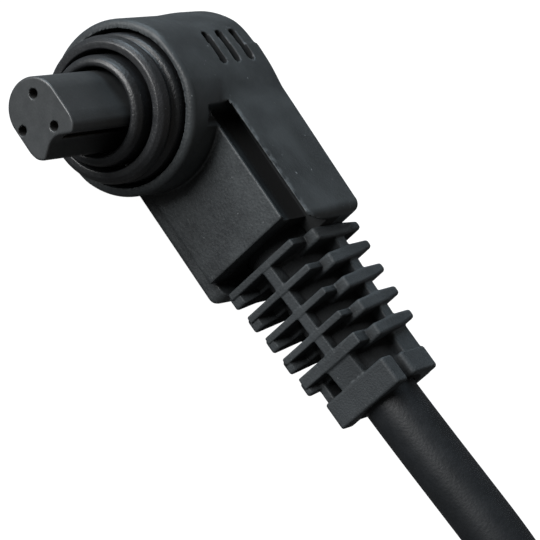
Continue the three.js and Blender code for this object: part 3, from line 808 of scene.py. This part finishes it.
def tie(x, y, z):
    x = x - TIE_X
    y = y - HANK_Y
    middle_z = (TIE_TOP + 0.1) / 2
    half_y = TIE_HALF_WIDTH - TIE_THICK / 2
    half_z = TIE_TOP - middle_z - TIE_THICK / 2
    corner = 3.2
    qy, qz = np.abs(y) - half_y + corner, np.abs(z - middle_z) - half_z + corner
    loop = np.minimum(np.maximum(qy, qz), 0) + np.hypot(np.maximum(qy, 0), np.maximum(qz, 0)) - corner
    wave = 0.05 * np.sin(x * 2.1 + y * 0.6)
    strap = both(np.abs(loop + wave) - TIE_THICK / 2 + 0.05, np.abs(x) - 4, 0.25)
    # The free end lies over the loop on top.
    over = both(np.abs(loop - TIE_THICK + 0.05) - TIE_THICK / 2 + 0.1, np.abs(x) - 3.9, 0.25)
    over = both(both(over, slab(y, -3.5, 6.4), 0.3), 3 - z)
    return np.minimum(strap, over)


strap = field_piece(
    "hank_strap",
    tie,
    (TIE_X - 4.5, HANK_Y - 8.8, -0.3),
    (TIE_X + 4.5, HANK_Y + 8.8, TIE_TOP + 1.3),
    0.16,
    (0, 0, 0),
    TIE,
)
link(strap, "remote", ["hank_tie"])

# ---- Handset ----
LENGTH, WIDTH = 88.0, 20.0
REAR_CORNER, FRONT_CORNER = 6.0, 9.6
WALL = 1.6
PARTING_Z, TOP_Z, CEILING_Z = 5.75, 12.6, 11.1
BUTTON_X, SLIDER_X = 63.0, 44.0
CASE_SCREWS = ((12, -6), (12, 6), (78, -5.6), (78, 5.6))
GRIP_XS = range(17, 34, 2)
SHELL_BOX = ((-0.6, -10.6, -0.5), (88.6, 10.6, 13.1))


def plan(x, y):
    """How far a point is outside the handset's outline seen from above."""
    x = x - LENGTH / 2
    corner = np.where(x > 0, FRONT_CORNER, REAR_CORNER)
    qx, qy = np.abs(x) - LENGTH / 2 + corner, np.abs(y) - WIDTH / 2 + corner
    return np.minimum(np.maximum(qx, qy), 0) + np.hypot(np.maximum(qx, 0), np.maximum(qy, 0)) - corner


def grips(shape, x, y):
    for grip_x in GRIP_XS:
        shape = without(shape, np.hypot(x - grip_x, np.abs(y) - 10.15) - 0.55, 0.12)
    return shape


def cord_entry(x, y, z):
    return np.maximum(np.hypot(y, z - PARTING_Z) - 3.3, x - 4)


def cover_shell(x, y, z):
    outline = plan(x, y)
    top = z - TOP_Z + 0.006 * y * y
    shell = both(outline, top, 2.2)
    shell = both(grips(shell, x, y), PARTING_Z + 0.12 - z, 0.2)
    shell = without(shell, both(outline + WALL, z - CEILING_Z, 0.5))
    button = np.hypot(x - BUTTON_X, y)
    shell = without(shell, both(button - 7.4, TOP_Z - 0.55 - z, 0.2), 0.25)
    shell = without(shell, block(x, y, z, (37.2, 54.9), (-4.7, 4.7), (TOP_Z - 0.35, 20), 0.3), 0.2)
    for post_x, post_y in CASE_SCREWS:
        reach = np.hypot(x - post_x, y - post_y)
        shell = np.minimum(shell, np.maximum(reach - 2, slab(z, 6.1, 11.5)))
        shell = without(shell, np.maximum(reach - 0.95, z - 9.6))
    shell = without(shell, button - 6.3, 0.15)
    shell = without(shell, block(x, y, z, (41.6, 51.4), (-1.8, 1.8), (8, 20), 0.2))
    return without(shell, cord_entry(x, y, z), 0.1)


def base_shell(x, y, z):
    outline = plan(x, y)
    shell = both(outline, -z, 1.1)
    shell = both(grips(shell, x, y), z - PARTING_Z + 0.12, 0.2)
    shell = without(shell, both(outline + WALL, 1.8 - z, 0.5))
    shell = without(shell, block(x, y, z, (26, 62), (-6, 6), (-5, 0.3), 0.25), 0.1)
    for post_x, post_y in CASE_SCREWS:
        reach = np.hypot(x - post_x, y - post_y)
        shell = np.minimum(shell, np.maximum(reach - 2.5, slab(z, 0.4, 5.4)))
        shell = without(shell, np.minimum(reach - 1, np.maximum(reach - 2.1, z - 2)), 0.1)
    for post_x, post_y, top, radius in ((6.5, 4.3, 4.6, 1.2), (50, 3, 2.7, 1.1)):
        reach = np.hypot(x - post_x, np.abs(y) - post_y)
        shell = np.minimum(shell, np.maximum(reach - radius, slab(z, 1, top)))
        shell = without(shell, np.maximum(reach - 0.6, 1.3 - z))
    return without(shell, cord_entry(x, y, z), 0.1)


for name, field, node in (
    ("handset_top", cover_shell, "handset_cover"),
    ("handset_bottom", base_shell, "handset_base"),
):
    shell = field_piece(name, field, *SHELL_BOX, 0.36, HANDSET_AT, SHELL)
    link(shell, "remote", [node])


def button_cap(x, y, z):
    reach = np.hypot(x - BUTTON_X, y)
    hollow = z - 13.5 - 0.5 * np.clip(reach / 5.2, 0, 1) ** 2
    cap = both(both(reach - 6, hollow, 0.5), 10 - z)
    flange = both(reach - 7.2, slab(z, 9.7, 10.7), 0.2)
    stem = both(reach - 1.6, slab(z, 7, 10.2), 0.3)
    return np.minimum(either(cap, flange, 0.15), stem)


button = field_piece("shutter_cap", button_cap, (55.4, -7.6, 6.6), (70.6, 7.6, 14.4), 0.16, HANDSET_AT, KEYS)
link(button, "button", ["shutter_button"])


def slider_knob(x, y, z):
    x = x - SLIDER_X
    arch = 0.008 * x * x
    knob = block(x, y, z + arch - 0.25, (-6, 6), (-4, 4), (TOP_Z + 0.1, 14.15), 0.55)
    knob = both(knob, TOP_Z + 0.25 - z)
    ridge = np.abs((x + 1) % 2 - 1) - 0.38
    ridge_room = block(x, y, z, (-9, 9), (-3.1, 3.1), (13, 14.68), 0.3)
    ridges = both(both(ridge, slab(x, -4.5, 4.5)), ridge_room, 0.2)
    neck = block(x, y, z, (-2, 2), (-1.5, 1.5), (10, 13.2))
    plate = block(x, y, z, (-6, 3), (-4, 4), (8.6, 10.8), 0.2)
    tongue = block(x, y, z, (0, 7.5), (-2.5, 2.5), (8.6, 9.6), 0.15)
    return any_of(either(knob, ridges, 0.1), neck, plate, tongue)


slider = field_piece("hold_knob", slider_knob, (37.6, -4.4, 8.2), (51.9, 4.4, 15), 0.14, HANDSET_AT, KEYS)
link(slider, "slider", ["hold_slider"])


def hold_mark(x, y, z):
    return block(x, y, z, (38.5, 41), (-1.5, 1.5), (TOP_Z - 0.6, TOP_Z - 0.29), 0.12)


mark = field_piece("hold_mark", hold_mark, (38.2, -1.8, 11.8), (41.3, 1.8, 12.6), 0.08, HANDSET_AT, WIRES[0])
link(mark, "remote")

GROMMET_BORE = CORD_DIAMETER / 2 + 0.03
GROMMET = [
    (GROMMET_BORE, 3),
    (3.7, 3),
    (3.7, 1.9),
    (3.0, 1.9),
    (3.0, -0.3),
    (3.9, -0.3),
    (3.85, -1.3),
    (3.3, -1.5),
    (3.25, -2.1),
    (3.72, -2.3),
    (3.65, -3.3),
    (3.1, -3.5),
    (3.05, -4.1),
    (3.5, -4.3),
    (3.42, -5.3),
    (2.9, -5.5),
    (2.85, -6.1),
    (3.2, -6.3),
    (2.95, -8),
    (GROMMET_BORE, -8),
]
entry_at = (HANDSET_X, HANDSET_Y, PARTING_Z)
grommet = lathe_piece("cord_entry", rounded_corners(GROMMET, 0.15), "X", entry_at, BOOT, 64)
link(grommet, "remote", ["cord_grommet"])

# ---- Switch leaves under the button ----
# Each leaf: its height, the X of its tip, and the X where it would move as far as the button does.
LEAVES = {
    "common_leaf": (6.5, 65.5, 70.0),
    "focus_leaf": (5.3, 64.5, 82.0),
    "shutter_leaf": (4.1, 63.5, 130.0),
}
LEAF_ROOT_X, LEAF_BEND_X = 42.6, 54
LEAF_HALF = 0.15  # half its thickness


def switch_leaf(height, tip_x):
    """The field of one leaf: a thin strip with a dimple under the button."""

    def leaf(x, y, z):
        thick = (height - LEAF_HALF, height + LEAF_HALF)
        strip = block(x, y, z, (LEAF_ROOT_X, tip_x), (-1.5, 1.5), thick, 0.05)
        dimple = np.hypot(np.hypot(x - BUTTON_X, y), z - height + 0.55) - 0.75
        return any_of(strip, all_of(dimple, height - z))

    return leaf


for node, (height, tip_x, bend_end) in LEAVES.items():
    low, high = (42.3, -1.8, height - 0.4), (tip_x + 0.3, 1.8, height + 0.5)
    leaf = field_piece("switch_" + node, switch_leaf(height, tip_x), low, high, 0.1, HANDSET_AT, BRASS)
    bpy.context.scene.collection.objects.link(leaf)
    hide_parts(node)
    start, end = (tuple(place((x, 0, height), HANDSET_AT)) for x in (LEAF_BEND_X, bend_end))
    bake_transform(leaf)

# ---- CAD pieces that keep their shape ----
CARRIED = {
    "contact_socket_": BRASS,
    "cord_ferrule": STEEL,
    "switch_block": INSULATOR,
    "cord_clamp": STEEL,
    "case_screw_": STEEL,
    "clamp_screw_": STEEL,
    "block_screw_": STEEL,
}
for node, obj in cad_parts.items():
    for start, material in CARRIED.items():
        if node.startswith(start):
            obj.data.materials.clear()
            obj.data.materials.append(material)
    for number, material in enumerate(WIRES, 1):
        if node in (f"plug_wire_{number}", f"handset_wire_{number}"):
            obj.data.materials.clear()
            obj.data.materials.append(material)

# ---- Floor and light ----
FLOOR_HALF = 3.0
GLOW_START, GLOW_END = -0.17, -0.4  # X + Y in metres, where the floor's glow begins and is full
WORLD_COLOUR = (0.13, 0.122, 0.113)
WHITE = (1, 1, 1)


def make_floor():
    """Pale paper that the camera sees as even white.

    To the object it is dark grey, with a glow past the plug, on the side that its nose points to."""
    data = bpy.data.meshes.new("floor")
    h = FLOOR_HALF
    data.from_pydata([(-h, -h, 0), (h, -h, 0), (h, h, 0), (-h, h, 0)], [], [(0, 1, 2, 3)])
    n = Nodes("floor_paper")
    fibre = n.noise(0.02, 3)
    grey = n.mix(fibre, (0.1, 0.1, 0.1), (0.12, 0.12, 0.12))
    n.set(Base_Color=grey, Roughness=0.9, Specular_IOR_Level=0.1)
    split = n.add("ShaderNodeSeparateXYZ")
    n.link(n.position, split.inputs[0])
    away = n.math("ADD", split.outputs["X"], split.outputs["Y"])
    glow = n.ramp(away, GLOW_START, GLOW_END, 0.02, 0.6)
    seen = n.add("ShaderNodeLightPath").outputs["Is Camera Ray"]
    n.set(Emission_Color=WHITE, Emission_Strength=n.math("MAXIMUM", seen, glow))
    data.materials.append(n.material)
    floor = bpy.data.objects.new("floor", data)
    bpy.context.scene.collection.objects.link(floor)


def area_light(name, at, target, size, energy, colour=WHITE):
    """A soft square light, placed in millimetres of the layout."""
    data = bpy.data.lights.new(name, "AREA")
    data.shape = "RECTANGLE"
    data.size, data.size_y = size
    data.energy = energy
    data.color = colour
    lamp = bpy.data.objects.new(name, data)
    lamp.location = place(at)
    aim = Vector(place(target)) - lamp.location
    lamp.rotation_mode = "QUATERNION"
    lamp.rotation_quaternion = aim.to_track_quat("-Z", "Y")
    bpy.context.scene.collection.objects.link(lamp)
    return lamp


def make_world():
    """A white surround for the camera, which gives the object only a dim, even light."""
    world = bpy.data.worlds.new("studio")
    world.use_nodes = True
    tree = world.node_tree
    seen = tree.nodes.new("ShaderNodeLightPath").outputs["Is Camera Ray"]
    colour = tree.nodes.new("ShaderNodeMix")
    colour.data_type = "RGBA"
    colour_socket(colour.inputs, "A").default_value = (*WORLD_COLOUR, 1)
    colour_socket(colour.inputs, "B").default_value = (*WHITE, 1)
    tree.links.new(seen, colour.inputs["Factor"])
    background = tree.nodes["Background"].inputs["Color"]
    tree.links.new(colour_socket(colour.outputs, "Result"), background)
    bpy.context.scene.world = world


def make_lights():
    area_light("key", (-430, -700, 230), (-110, 8, 5), (0.6, 0.4), 12.5)
    area_light("top", (-640, -60, 520), (-110, 10, 5), (0.5, 0.5), 5.5, (0.72, 0.88, 1))
    back = area_light("back", (-60, 760, 330), (0, 8, 5), (0.7, 0.4), 5.0, (0.85, 0.93, 1))
    back.visible_glossy = False


make_floor()
make_world()
make_lights()
bpy.context.scene.view_settings.view_transform = "Standard"
